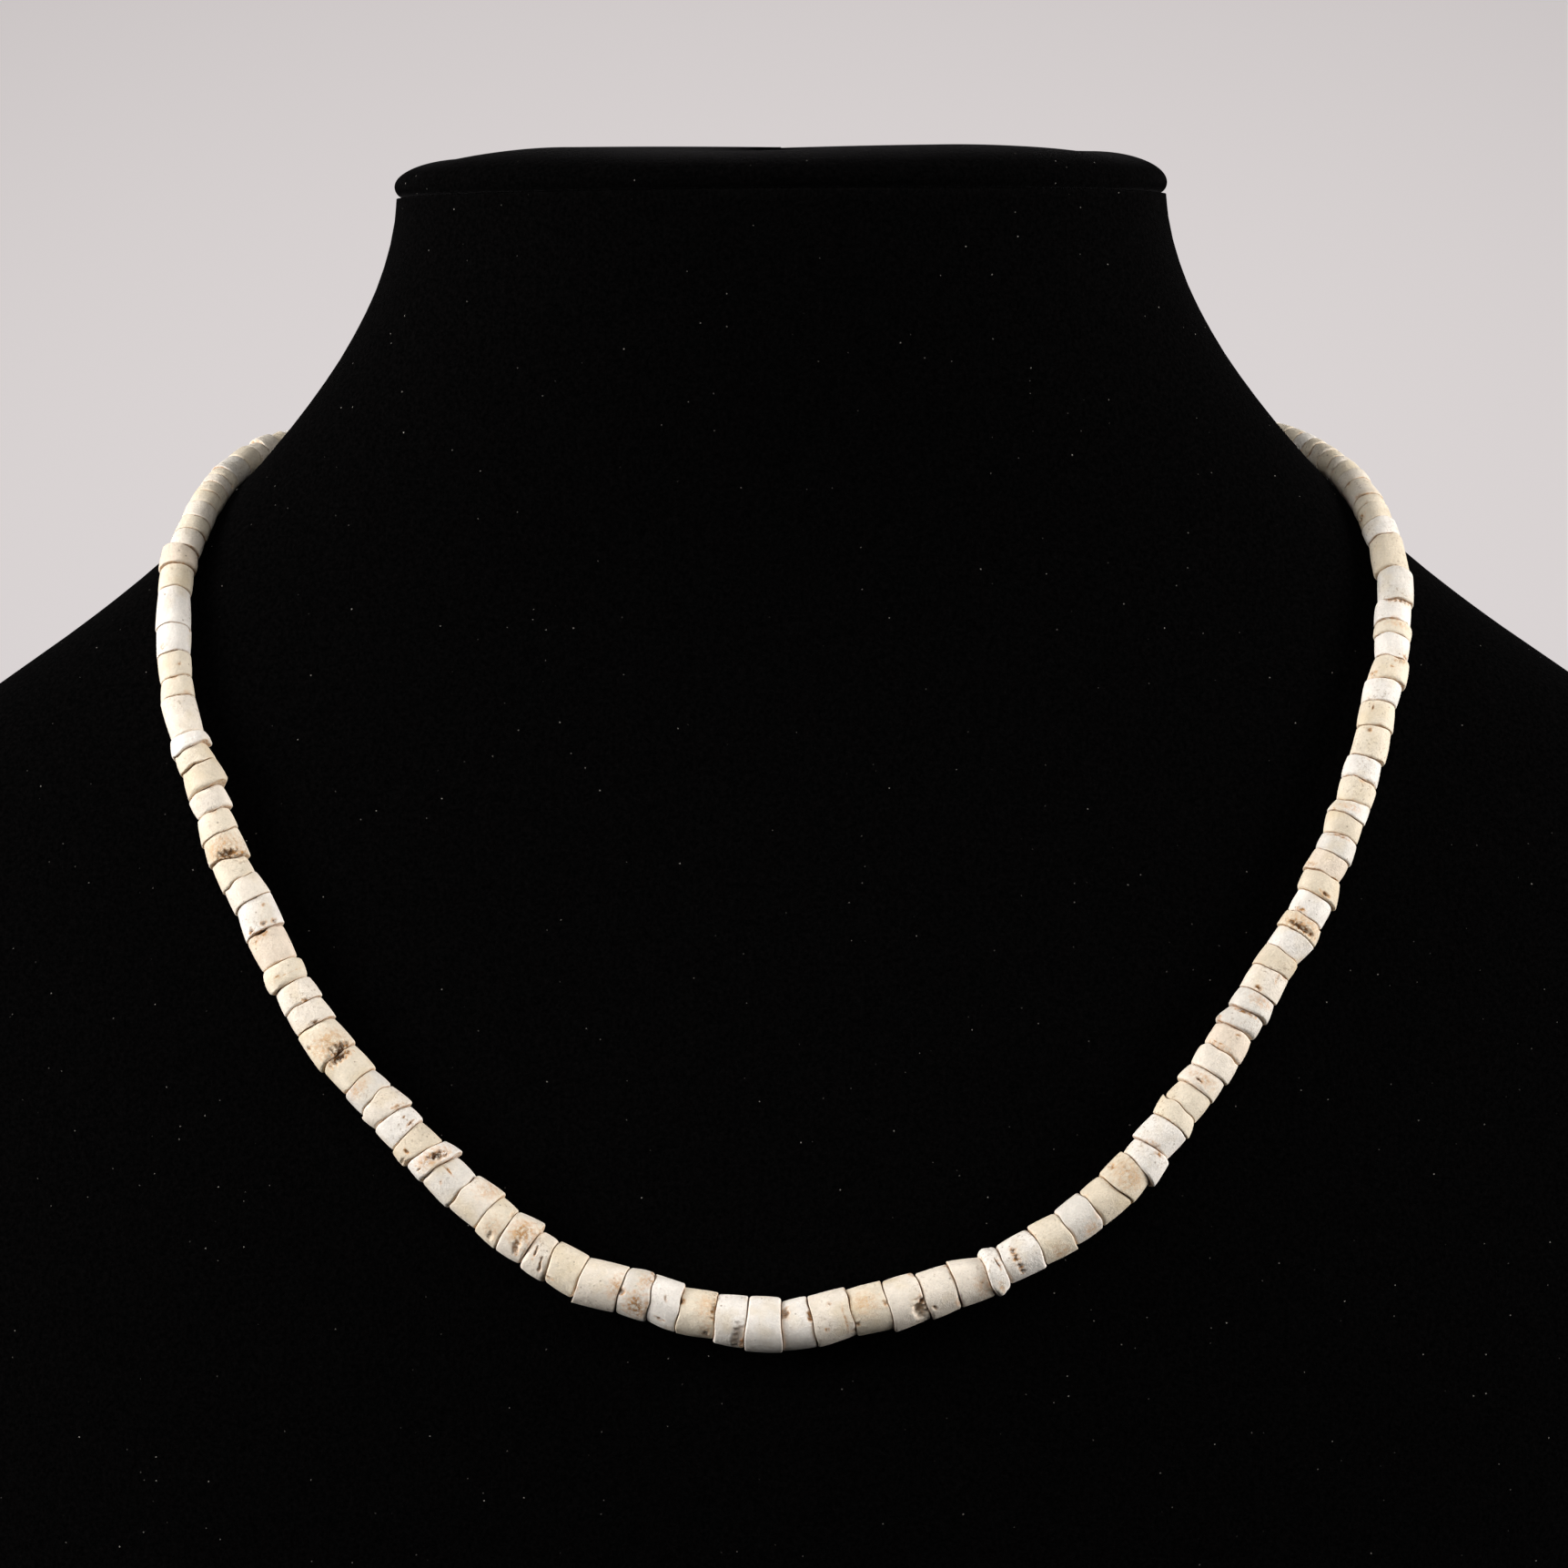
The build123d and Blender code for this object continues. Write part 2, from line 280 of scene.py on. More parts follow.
# %% Charts of place, tilt, taper and lean
OFFSETS_LEFT = "55337662426363233555763488864889988889655555555"
OFFSETS_RIGHT = "6456667554559555565454356653656756437654855555555555"
TILTS_LEFT = "43742762636355233445857345614244756553564564565"
TILTS_RIGHT = "4353483675643717633834695519539444257476654654565455"
TAPERS_LEFT = "65665656565765565767547767858774744756565465564"
TAPERS_RIGHT = "6464423656544544354334573535463644463755546554655645"
LEANS_LEFT = "76755857551062767355568939798965875585645654565"
LEANS_RIGHT = "7667553454827535657767343352546457863435356545655455"
OFFSET_STEP = 0.12 * MM
TILT_STEP, LEAN_STEP = np.radians(2.5), np.radians(2.5)
TAPER_STEP = 0.05
UNSEEN_SPREAD = 0.8


def chart(left, right, step, middle_figures="5"):
    """A chart for the whole ring: the seen beads' figures, and a draw for each unseen bead."""
    figures = left[::-1] + middle_figures + right
    steps = UNSEEN_SPREAD * luck.standard_normal(bead_count)
    first = front - len(left) - len(middle_figures) + 1
    steps[first:first + len(figures)] = [int(figure) - 5 for figure in figures]
    return steps * step


offset = chart(OFFSETS_LEFT, OFFSETS_RIGHT, OFFSET_STEP)
tilt = chart(TILTS_LEFT, TILTS_RIGHT, TILT_STEP)
taper = chart(TAPERS_LEFT, TAPERS_RIGHT, TAPER_STEP)
lean = chart(LEANS_LEFT, LEANS_RIGHT, LEAN_STEP, "55")
seen = np.arange(front - len(TILTS_LEFT), front + len(TILTS_RIGHT) + 1)
print("beads charted:", len(seen), "largest offset", round(abs(offset).max() / MM, 2), "mm")

# %% [markdown]
# ## The seams between the beads
#
# Stone beads on a tight string touch along their ends, and each end is ground a little askew.
# A plane is set between each pair of neighbours, and both beads end a hair short of it. So the
# beads fit as on the string, and none can cut into the next, however it tilts. No end was
# ground quite flat: each seam waves a little, alike on both of its beads, and each end has
# nicks of its own where the edge broke away.

# %% Tilt the beads and set the seam planes
SEAM = 0.09 * MM
SEAM_WAVE = 0.055 * MM
WAVES_ROUND = (2, 3, 5)
NICK = 0.06 * MM
DEEPEST_NICK = 0.34 * MM
NICKS_PER_END = 3

centre = middle + offset[:, None] * outward
axis = unit(along + np.tan(tilt)[:, None] * outward)
side = np.cross(axis, facing)
half = length[:, None] / 2
ends_ahead, ends_behind = centre + half * axis, centre - half * axis
seam_place = (ends_ahead[:-1] + ends_behind[1:]) / 2
seam_normal = unit(along[:-1] + along[1:])
seam_outward = unit(outward[:-1] + outward[1:])
seam_normal = unit(seam_normal - np.tan(lean[:-1])[:, None] * seam_outward)
seam_place = np.concatenate([ends_behind[:1], seam_place, ends_ahead[-1:]])
seam_normal = np.concatenate([along[:1], seam_normal, along[-1:]])
print("seams set:", len(seam_place))

wave_shape = (len(WAVES_ROUND), bead_count + 1, 1, 1)
wave_height = SEAM_WAVE * luck.standard_normal(wave_shape)
wave_start = luck.uniform(0, 2 * np.pi, wave_shape)
nick_shape = (2, NICKS_PER_END, bead_count, 1, 1)
nick_depth = np.minimum(luck.exponential(NICK, nick_shape), DEEPEST_NICK)
nick_turn = luck.uniform(0, 2 * np.pi, nick_shape)
nick_width = luck.uniform(0.10, 0.45, nick_shape)


def seam_shift(seams, angle):
    """How far each seam swells ahead at each angle: the sum of height * cos(waves * angle + start)."""
    waves_round = np.reshape(WAVES_ROUND, (-1, 1, 1, 1))
    return (wave_height[:, seams] * np.cos(waves_round * angle + wave_start[:, seams])).sum(axis=0)


def nicks(end, beads, angle):
    """How far nicks set an end back at each angle: the sum of depth * exp(-(turn from it / width) ^ 2)."""
    away = (angle - nick_turn[end][:, beads] + np.pi) % (2 * np.pi) - np.pi
    dips = nick_depth[end][:, beads] * np.exp(-((away / nick_width[end][:, beads]) ** 2))
    return dips.sum(axis=0)


# %% [markdown]
# ## Chips, pits and stains
#
# Soft stone chips where beads knock together, and soil stays in the pits for good. The marks
# below are those that can be told apart. Beads are counted from the front one, below 0 to the
# left. The turn runs in degrees round the bead from its front to the outer edge. The place
# along the bead and the sizes are hundredths of it, the width those of a radian, and the last
# column is how much soil the mark holds. The model's larger chips are here too, so they stay
# where the solid has them. Stains have no depth: there the stone itself took up ochre.

# %% The table of marks
CHIPS = [
    # bead, turn, along, width, length, depth, soil
    (-1, 34, 40, 70, 60, 8, 4),
    (-2, -24, 47, 46, 20, 7, 60),
    (-2, 48, 33, 14, 12, 5, 100),
    (-2, 35, 30, 30, 30, 0.5, 35),
    (-3, -15, 0, 10, 10, 4, 60),
    (-3, 40, -5, 7, 35, 3, 90),
    (-4, 0, -50, 15, 14, 5, 60),
    (-4, -45, 45, 30, 16, 2, 60),
    (-6, 40, -40, 8, 25, 4, 80),
    (-7, -8, -30, 30, 18, 7, 80),
    (-7, 3, 32, 20, 15, 6, 80),
    (-7, 25, 36, 22, 20, 8, 50),
    (-8, 15, 15, 30, 35, 6, 50),
    (-8, 30, 22, 26, 24, 7, 50),
    (-8, 37, 32, 12, 12, 2, 90),
    (-9, 23, 10, 50, 70, 0.5, 30),
    (-9, -50, 45, 30, 20, 6, 20),
    (-9, 40, 20, 30, 30, 5, 25),
    (-10, -50, 10, 60, 70, 0.5, 35),
    (-11, -20, -25, 5, 50, 2, 80),
    (-11, 15, -10, 9, 9, 2, 80),
    (-12, -17, 3, 38, 50, 12, 100),
    (-12, -25, 28, 34, 30, 9, 70),
    (-12, 38, 10, 14, 12, 5, 80),
    (-13, 22, 10, 10, 40, 4, 90),
    (-13, 60, 40, 40, 30, 5, 10),
    (-14, -28, -10, 12, 12, 4, 70),
    (-14, -32, 40, 25, 12, 7, 80),
    (-15, -32, 45, 26, 14, 2, 70),
    (-17, -6, -42, 60, 32, 18, 100),
    (-18, -22, 50, 52, 26, 18, 95),
    (-18, 50, -10, 16, 14, 5, 80),
    (-19, -3, 47, 30, 12, 8, 90),
    (-20, -17, 50, 16, 12, 6, 70),
    (-21, -20, 20, 70, 5, 2, 60),
    (-21, 15, 5, 14, 14, 0.4, 70),
    (-22, 35, -40, 16, 16, 1, 80),
    (-23, -42, 42, 15, 14, 6, 95),
    (-23, -11, 38, 15, 14, 6, 95),
    (-23, 31, 42, 15, 14, 6, 95),
    (-23, -30, -20, 10, 10, 2, 70),
    (-25, -55, -35, 50, 40, 6, 10),
    (-26, -5, 40, 60, 35, 15, 90),
    (-34, -20, 10, 14, 12, 4, 60),
    (-35, 35, 28, 20, 20, 4, 60),
    (1, -38, -42, 26, 34, 11, 62),
    (1, -19, 48, 25, 10, 6, 70),
    (2, 10, 35, 60, 5, 2, 70),
    (2, -35, 0, 9, 9, 1, 80),
    (2, 20, -20, 9, 9, 1, 80),
    (3, -10, 47, 14, 10, 5, 60),
    (3, 25, -47, 14, 10, 5, 60),
    (4, 29, 33, 46, 46, 15, 26),
    (4, 6, 47, 20, 16, 7, 80),
    (5, 27, -40, 14, 14, 5, 70),
    (7, -22, 40, 30, 15, 8, 90),
    (7, 45, -10, 40, 40, 0.4, 40),
    (8, -28, -17, 20, 15, 6, 90),
    (8, -6, -17, 20, 15, 6, 90),
    (8, 18, -17, 20, 15, 6, 90),
    (8, 37, -17, 18, 14, 5, 90),
    (9, 45, 0, 40, 50, 0.4, 40),
    (10, 45, 10, 40, 50, 0.4, 40),
    (12, -60, -10, 30, 20, 2, 70),
    (12, -20, 15, 24, 20, 1.5, 60),
    (13, 15, 45, 22, 14, 2, 80),
    (17, -12, -20, 20, 20, 8, 90),
    (19, -30, -46, 50, 8, 2, 70),
    (19, 10, 40, 12, 10, 2, 80),
    (20, -15, 48, 60, 8, 2, 80),
    (22, -15, -40, 20, 15, 7, 90),
    (22, 20, 30, 6, 40, 2, 70),
    (25, -2, -22, 80, 48, 15, 90),
    (26, -30, -45, 30, 14, 1, 80),
    (27, 14, -40, 25, 20, 7, 80),
    (28, -55, -35, 30, 20, 1, 70),
    (29, -15, 45, 60, 10, 2, 80),
    (34, -22, 35, 16, 14, 5, 80),
    (35, -22, 20, 6, 30, 2, 90),
    (37, -60, -40, 30, 20, 1, 70),
    (37, 0, 0, 12, 12, 1, 70),
    (37, 20, 45, 30, 12, 3, 80),
    (38, 55, -40, 30, 20, 1, 70),
    (40, 20, 45, 50, 14, 8, 80),
    (44, -60, 0, 40, 40, 6, 80),
]
STAINS = [
    (-2, -25, 30, 60, 60, 0, 32),
    (-4, 24, 16, 55, 80, 0, 72),
    (-4, -40, 25, 40, 40, 0, 43),
    (-5, -10, 42, 50, 30, 0, 49),
    (-8, -18, 10, 55, 90, 0, 61),
    (-9, 22, 10, 55, 80, 0, 29),
    (-12, -10, 0, 80, 90, 0, 51),
    (-16, 10, -30, 70, 60, 0, 32),
    (-18, -10, 20, 80, 80, 0, 43),
    (-26, 0, 10, 90, 90, 0, 43),
    (3, -24, -10, 50, 70, 0, 32),
    (6, 20, 30, 50, 50, 0, 32),
    (12, 0, 5, 70, 80, 0, 38),
    (17, -8, 0, 70, 70, 0, 43),
    (21, 14, 20, 60, 60, 0, 35),
    (25, 4, 10, 90, 90, 0, 41),
    (31, -10, 0, 60, 60, 0, 35),
    (39, 8, 20, 60, 60, 0, 35),
]
MARKS = CHIPS + STAINS
print("marks charted:", len(CHIPS), "chips and pits,", len(STAINS), "stains")

# %% [markdown]
# ## A bead's skin
#
# Seen in section, a bead is a closed line: in along one end face, through the bore, out along
# the other face, round the rim, along the crowned side and round the other rim. Carried round
# the bore, that line makes the bead's skin. A hand-ground bead isn't a true circle, so its
# radius swells and dips a few times round it, with small lumps along it.

# %% The section of a bead, as a table of points
BORE = 0.8 * MM
CROWN = 0.02
RIM = 0.045
RIM_SPREAD = 0.35
THINNEST = 0.25 * MM
LUMP_WAVES = ((2, 0), (3, 0), (4, 0), (5, 0), (1, 1), (2, 1), (3, 2), (5, 1), (7, 2), (9, 3))


def bead_section(side_steps, rim_steps, face_steps, bore_steps):
    """The section's points: share of the length, clearance from each end, inset, reach from the bore.

    Clearances and inset are in rim roundings. On a rim that has turned by an angle, the
    clearance is 1 - cos and the inset 1 - sin of it.
    """
    rows = []
    bend = np.linspace(0, np.pi / 2, rim_steps + 1)
    for angle in bend:
        rows.append((0, 1 - np.cos(angle), 0, 1 - np.sin(angle), 1))
    for share in np.linspace(0, 1, side_steps + 1)[1:-1]:
        rows.append((share, 1, 1, 0, 1))
    for angle in bend[::-1]:
        rows.append((1, 0, 1 - np.cos(angle), 1 - np.sin(angle), 1))
    for share in np.linspace(1, 0, face_steps + 1)[1:]:
        rows.append((1, 0, 0, 1, share))
    for share in np.linspace(1, 0, bore_steps + 1)[1:]:
        rows.append((share, 0, 0, 1, 0))
    for share in np.linspace(0, 1, face_steps + 1)[1:-1]:
        rows.append((0, 0, 0, 1, share))
    return np.array(rows).T


def waves(beads, rows, columns, share, angle, size):
    """Lumps on a bead: waves round it times waves along it, with drawn heights and starts."""
    total = np.zeros((len(beads), rows, columns))
    for around, along_it in LUMP_WAVES:
        height = size * luck.standard_normal((len(beads), 1, 1)) / (around + along_it)
        round_start, long_start = luck.uniform(0, 2 * np.pi, (2, len(beads), 1, 1))
        round_wave = np.cos(around * angle + round_start)
        long_wave = np.cos(np.pi * along_it * share + long_start) if along_it else 1
        total += height * round_wave * long_wave
    return total


print("points round the section of a plain bead:", bead_section(9, 3, 1, 1).shape[1])

# %% [markdown]
# All beads of a run are worked out in one go, as an array of bead, row and column. First the bead's side gets
# its taper, crown, lumps and marks. Then its rims are rounded, each a little differently, and its rows are
# spread between the two seams that it ends at. Brown soil gathers in the marks. Over the end faces and in the
# nicks the same brown is partly soil and partly painted shade, which darkens the gaps between the beads.

# %% Work out the skins of many beads at once
LUMPS = 0.014
SHRUNK = 0.004
RIM_LUMPS = 0.9
RIM_RANGE = (0.4, 2.2)
WIDEST_RIM = 0.34
# How brown the end faces get, and how deep a nick is when it is fully brown: soil with painted shade.
END_SOIL_AND_SHADE = 0.6
CLEAN = 0.02
CROWDING = 0.42
NICK_SOILED_AND_SHADED = 0.14 * MM
RAGGED = 0.26
RAGGED_ROUND, RAGGED_ALONG = 21, 11
STAIN_END, STAIN_FADE = 1.55, 1.1


def bead_skins(beads, section, columns):
    """The beads' skins and how much brown each place holds: dirt in the marks, dirt with painted shade at the
    ends.

    The radius is half the diameter, times the taper, the crown and the waves, less each
    mark's scoop, depth * (1 - d * d), where d is the distance from the mark's middle in its
    own sizes, made ragged by teeth round and along the bead. A place along the bead is found
    where its line meets the two seam planes. The columns crowd at the front of the bead:
    angle = u - crowding * sin(u).
    """
    share, clear_behind, clear_ahead, inset, out = (column[None, :, None] for column in section)
    rows = section.shape[1]
    even = ring_angles(columns)
    angle = (even - CROWDING * np.sin(even))[None, None, :]
    r = radius[beads][:, None, None]
    run = 2 * share - 1
    skin = r * (1 + taper[beads][:, None, None] * run / 2 - CROWN * run * run)
    skin = skin * (1 + waves(beads, rows, columns, share, angle, LUMPS) - SHRUNK)
    soil = np.full(skin.shape, CLEAN)
    at = {bead: place for place, bead in enumerate(beads)}
    for count, mark_turn, *hundredths in MARKS:
        bead = front + count
        if bead not in at:
            continue
        mark_along, width, mark_length, mark_depth, mark_soil = (figure / 100 for figure in hundredths)
        start = abs(count)
        teeth = np.cos(RAGGED_ROUND * angle[0] + start) * np.cos(RAGGED_ALONG * share[0] + start)
        round_it = (angle[0] - np.radians(mark_turn) + np.pi) % (2 * np.pi) - np.pi
        d = np.hypot(round_it / width, (share[0] - 0.5 - mark_along) / mark_length * 2)
        d = d * (1 + RAGGED * teeth)
        skin[at[bead]] -= mark_depth * 2 * radius[bead] * np.clip(1 - d * d, 0, None)
        stain = mark_soil * np.clip((STAIN_END - d) / STAIN_FADE, 0, 1)
        soil[at[bead]] = np.maximum(soil[at[bead]], stain)

    here, on_axis, on_facing, on_side = (part[beads][:, None, None] for part in (centre, axis, facing, side))
    spoke = np.cos(angle)[..., None] * on_facing + np.sin(angle)[..., None] * on_side

    def where_planes_meet(distance):
        """How far along the bead its line at this distance meets the planes behind and ahead."""
        ray = here + distance[..., None] * spoke
        at_rim = np.clip(distance / r * 2 - 0.9, 0, 1)
        meets = []
        for end, plane, inwards in ((0, beads, 1), (1, beads + 1, -1)):
            place = seam_place[plane][:, None, None]
            normal = seam_normal[plane][:, None, None]
            gap = dot(place - ray, normal) + inwards * SEAM / 2
            meet = (gap / dot(on_axis, normal))[..., 0]
            meets.append(meet + at_rim * (seam_shift(plane, angle) + inwards * nicks(end, beads, angle)))
        return meets

    behind_it, ahead_of_it = where_planes_meet(skin)
    thickness = np.clip((ahead_of_it - behind_it).min(axis=1, keepdims=True), THINNEST, None)
    rim_waves = 1 + RIM_LUMPS * waves(beads, 1, columns, np.zeros((1, 1, 1)), angle, 1) / 2
    rim = RIM * np.exp(RIM_SPREAD * luck.standard_normal((len(beads), 1, 1)))
    rounding = np.clip(rim * 2 * r * np.clip(rim_waves, *RIM_RANGE), None, WIDEST_RIM * thickness)
    distance = BORE + (skin - rounding * inset - BORE) * out
    behind_it, ahead_of_it = where_planes_meet(distance)
    room = ahead_of_it - behind_it - rounding * (clear_behind + clear_ahead)
    z = behind_it + rounding * clear_behind + room * share
    # Painted shade with soil: the end faces and rims, which lie in the gaps between beads, turn brown.
    soil = np.maximum(soil, END_SOIL_AND_SHADE * np.clip(inset * 1.1 - 0.35, 0, 1))
    # The nicks at each end turn brown as well: soil with painted shade.
    nicked = np.where(run < 0, nicks(0, beads, angle), nicks(1, beads, angle)) / NICK_SOILED_AND_SHADED
    soil = np.maximum(soil, END_SOIL_AND_SHADE * np.clip(nicked - 0.4, 0, 1) * np.clip(abs(run) * 6 - 5, 0, 1))
    return here + distance[..., None] * spoke + z[..., None] * on_axis, soil, thickness.min()


print("columns at a bead's front are", round(1 / (1 - CROWDING), 2), "times as close as evenly spread")

# %% [markdown]
# ## The stones' own tones
#
# The beads are of one kind of stone, but each has its own tone: chalk white, warm neutral,
# cream, light grey, beige or peach. A letter in the chart stands for it, and the mesh carries
# it as a colour on its points, so one material serves all beads.

# %% Make the beads
TONES_LEFT = "wcwgncnncngwbwngccnncpwncccnbcwnccwwcpncnccncgc"
TONES_RIGHT = "wncnnnwwcgbbwwccnnpggnbwcwbpgbwcwccwcwcwgbwccnncncnc"
TONE_OF = {
    "w": linear("#F0E8DE"),
    "n": linear("#ECE0D0"),
    "c": linear("#E9DBC5"),
    "g": linear("#E1D9CE"),
    "p": linear("#E9D8C4"),
    "b": linear("#E0D1BA"),
}
tone_letters = luck.choice(list("wnnccgb"), bead_count)
tone_letters[seen] = list(TONES_LEFT[::-1] + "w" + TONES_RIGHT)
tone = np.array([TONE_OF[letter] for letter in tone_letters])

SEEN_SECTION = bead_section(side_steps=18, rim_steps=5, face_steps=2, bore_steps=2)
UNSEEN_SECTION = bead_section(side_steps=9, rim_steps=3, face_steps=1, bore_steps=1)
SEEN_COLUMNS, UNSEEN_COLUMNS = 96, 48
LEFT_HALFWAY, LEFT_SEEN = front - 23, front - len(TONES_LEFT)
RIGHT_HALFWAY, RIGHT_SEEN = front + 27, front + len(TONES_RIGHT) + 1

runs = {
    "beads_left_front": (LEFT_HALFWAY, front + 1),
    "beads_left_side": (LEFT_SEEN, LEFT_HALFWAY),
    "beads_left_nape": (0, LEFT_SEEN),
    "beads_right_front": (front + 1, RIGHT_HALFWAY),
    "beads_right_side": (RIGHT_HALFWAY, RIGHT_SEEN),
    "beads_right_nape": (RIGHT_SEEN, bead_count),
}
bead_pieces = []
for name, ends in runs.items():
    beads = np.arange(*ends)
    section, columns = (UNSEEN_SECTION, UNSEEN_COLUMNS) if "nape" in name else (SEEN_SECTION, SEEN_COLUMNS)
    skins, soil, thinnest = bead_skins(beads, section, columns)
    tones = np.ascontiguousarray(np.broadcast_to(tone[beads][:, None, None], (*soil.shape, 4)))
    piece = grid_mesh(name, skins, closed_rows=True, attributes={"tone": tones, "soil": soil[..., None]})
    bead_pieces.append(piece)
    print(name, len(beads), "beads, thinnest edge", round(thinnest / MM, 2), "mm")

# %% [markdown]
# ## Limestone, sawn and ground by hand
#
# The beads are a fine-grained limestone or marble, ground on sandstone and never polished. To
# the eye it is dry and chalky with hardly any gloss. It has faint clouds of warmer tone about
# 2 mm across, dark grains of 0.1 to 0.3 mm, sand marks of 0.2 mm, and brown soil in its pits.

# %% The stone
stone, tree, shader, place = new_material("ground_limestone")
bead_tone = add_node(tree, "Attribute", attribute_name="tone").outputs["Color"]
bead_soil_and_shade = add_node(tree, "Attribute", attribute_name="soil").outputs["Fac"]

clouds = add_node(tree, "TexNoise", {"Vector": place, "Scale": per_mm(2.4), "Detail": 5, "Roughness": 0.6})
cloud_light = add_node(tree, "MapRange", {
    "Value": clouds, "From Min": 0.3, "From Max": 0.7, "To Min": 0.86, "To Max": 1.05,
})
sand_grain = add_node(tree, "TexNoise", {
    "Vector": place, "Scale": per_mm(0.3), "Detail": 3, "Roughness": 0.7,
})
sand_light = add_node(tree, "MapRange", {
    "Value": sand_grain, "From Min": 0.3, "From Max": 0.7, "To Min": 0.95, "To Max": 1.05,
})
mottle = add_node(tree, "Math", {0: cloud_light, 1: sand_light}, operation="MULTIPLY")
clouded = add_node(tree, "VectorMath", {0: bead_tone, "Scale": mottle}, operation="SCALE")

warm_patches = add_node(tree, "TexNoise", {"Vector": place, "Scale": per_mm(4.5), "Detail": 3})
warm_share = add_node(tree, "MapRange", {
    "Value": warm_patches, "From Min": 0.52, "From Max": 0.72, "To Max": 0.45,
})
warmed = add_node(tree, "Mix", {
    MIX_FACTOR: warm_share, MIX_A: clouded, MIX_B: linear("#D2BC94"),
}, data_type="RGBA")

grains = add_node(tree, "TexVoronoi", {"Vector": place, "Scale": per_mm(0.9)})
grain_share = add_node(tree, "MapRange", {
    "Value": grains, "From Min": 0.10, "From Max": 0.20, "To Min": 1.0, "To Max": 0.0,
})
grain_luck = add_node(tree, "SeparateColor", {"Color": grains.outputs["Color"]})
grain_pick = add_node(tree, "Math", {0: grain_luck, 1: 0.86}, operation="GREATER_THAN")
grain_hard = add_node(tree, "Math", {0: grain_share, 1: grain_pick}, operation="MULTIPLY")
grain_soft = add_node(tree, "Math", {0: grain_hard, 1: 0.6}, operation="MULTIPLY")
grained = add_node(tree, "Mix", {
    MIX_FACTOR: grain_soft, MIX_A: warmed, MIX_B: linear("#7C6650"),
}, data_type="RGBA")

speckle_zone = add_node(tree, "TexNoise", {"Vector": place, "Scale": per_mm(5.5), "Detail": 2})
in_zone = add_node(tree, "MapRange", {
    "Value": speckle_zone, "From Min": 0.50, "From Max": 0.62, "To Max": 0.55,
})
speckles = add_node(tree, "TexNoise", {"Vector": place, "Scale": per_mm(0.42), "Detail": 3, "Roughness": 0.6})
dots = add_node(tree, "MapRange", {"Value": speckles, "From Min": 0.55, "From Max": 0.68})
dot_share = add_node(tree, "Math", {0: in_zone, 1: dots}, operation="MULTIPLY")
speckled = add_node(tree, "Mix", {
    MIX_FACTOR: dot_share, MIX_A: grained, MIX_B: linear("#8E7355"),
}, data_type="RGBA")

clumps = add_node(tree, "TexNoise", {"Vector": place, "Scale": per_mm(0.5), "Detail": 4, "Roughness": 0.7})
clump_share = add_node(tree, "MapRange", {
    "Value": clumps, "From Min": 0.37, "From Max": 0.60, "To Min": 0.05, "To Max": 1.65,
})
# The beads' brown share is dirt in the marks, and dirt with painted shade on the end faces and nicks; both
# take this brown.
soil_and_shade_share = add_node(tree, "Math", {0: bead_soil_and_shade, 1: clump_share}, operation="MULTIPLY", use_clamp=True)
soil_and_shade_thinness = add_node(tree, "Math", {0: clumps, 1: bead_soil_and_shade}, operation="SUBTRACT")
soil_and_shade_paler = add_node(tree, "MapRange", {"Value": soil_and_shade_thinness, "From Min": -0.45, "From Max": 0.25})
soil_and_shade_brown = add_node(tree, "Mix", {
    MIX_FACTOR: soil_and_shade_paler, MIX_A: linear("#54351A"), MIX_B: linear("#CC9250"),
}, data_type="RGBA")
soiled_and_shaded = add_node(tree, "Mix", {MIX_FACTOR: soil_and_shade_share, MIX_A: speckled, MIX_B: soil_and_shade_brown}, data_type="RGBA")

sand_marks = add_node(tree, "TexNoise", {
    "Vector": place, "Scale": per_mm(0.22), "Detail": 3, "Roughness": 0.65,
})
hollows = add_node(tree, "TexNoise", {"Vector": place, "Scale": per_mm(0.8), "Detail": 2})
relief = add_node(tree, "Math", {0: sand_marks, 1: hollows}, operation="ADD")
bump = add_node(tree, "Bump", {"Height": relief, "Strength": 0.8, "Distance": 0.12 * MM})
give(tree, shader, {
    "Base Color": soiled_and_shaded,
    "Normal": bump,
    "Roughness": 0.82,
    "Specular IOR Level": 0.3,
    "IOR": 1.5,
})

for piece in bead_pieces:
    finish_piece(piece, stone, piece.name.rpartition("_")[0])

# %% [markdown]
# ## The thread
#
# A cord of two twisted plies of cotton holds the beads. It shows only as a hair between two
# of them and at the clasp. It is a tube carried along the beads' middles, and at each step its
# section of two lobes is turned a little further.

# %% Make the thread
THREAD_RADIUS = 0.4 * MM
TWIST_LENGTH = 2.2 * MM
LOBE = 0.16
THREAD_STEPS, THREAD_COLUMNS = 8, 12
IN_CLASP = 1.5 * MM


def smooth_line(points, steps):
    """A cubic from point to point, whose slope at each is half the way between its neighbours."""
    padded = np.concatenate([2 * points[:1] - points[1:2], points, 2 * points[-1:] - points[-2:-1]])
    slope = (padded[2:] - padded[:-2]) / 2
    t = np.linspace(0, 1, steps, endpoint=False)[None, :, None]
    a, b = points[:-1, None], points[1:, None]
    m, n = slope[:-1, None], slope[1:, None]
    run = (2 * t**3 - 3 * t**2 + 1) * a + (t**3 - 2 * t**2 + t) * m
    run = run + (3 * t**2 - 2 * t**3) * b + (t**3 - t**2) * n
    return np.concatenate([run.reshape(-1, 3), points[-1:]])


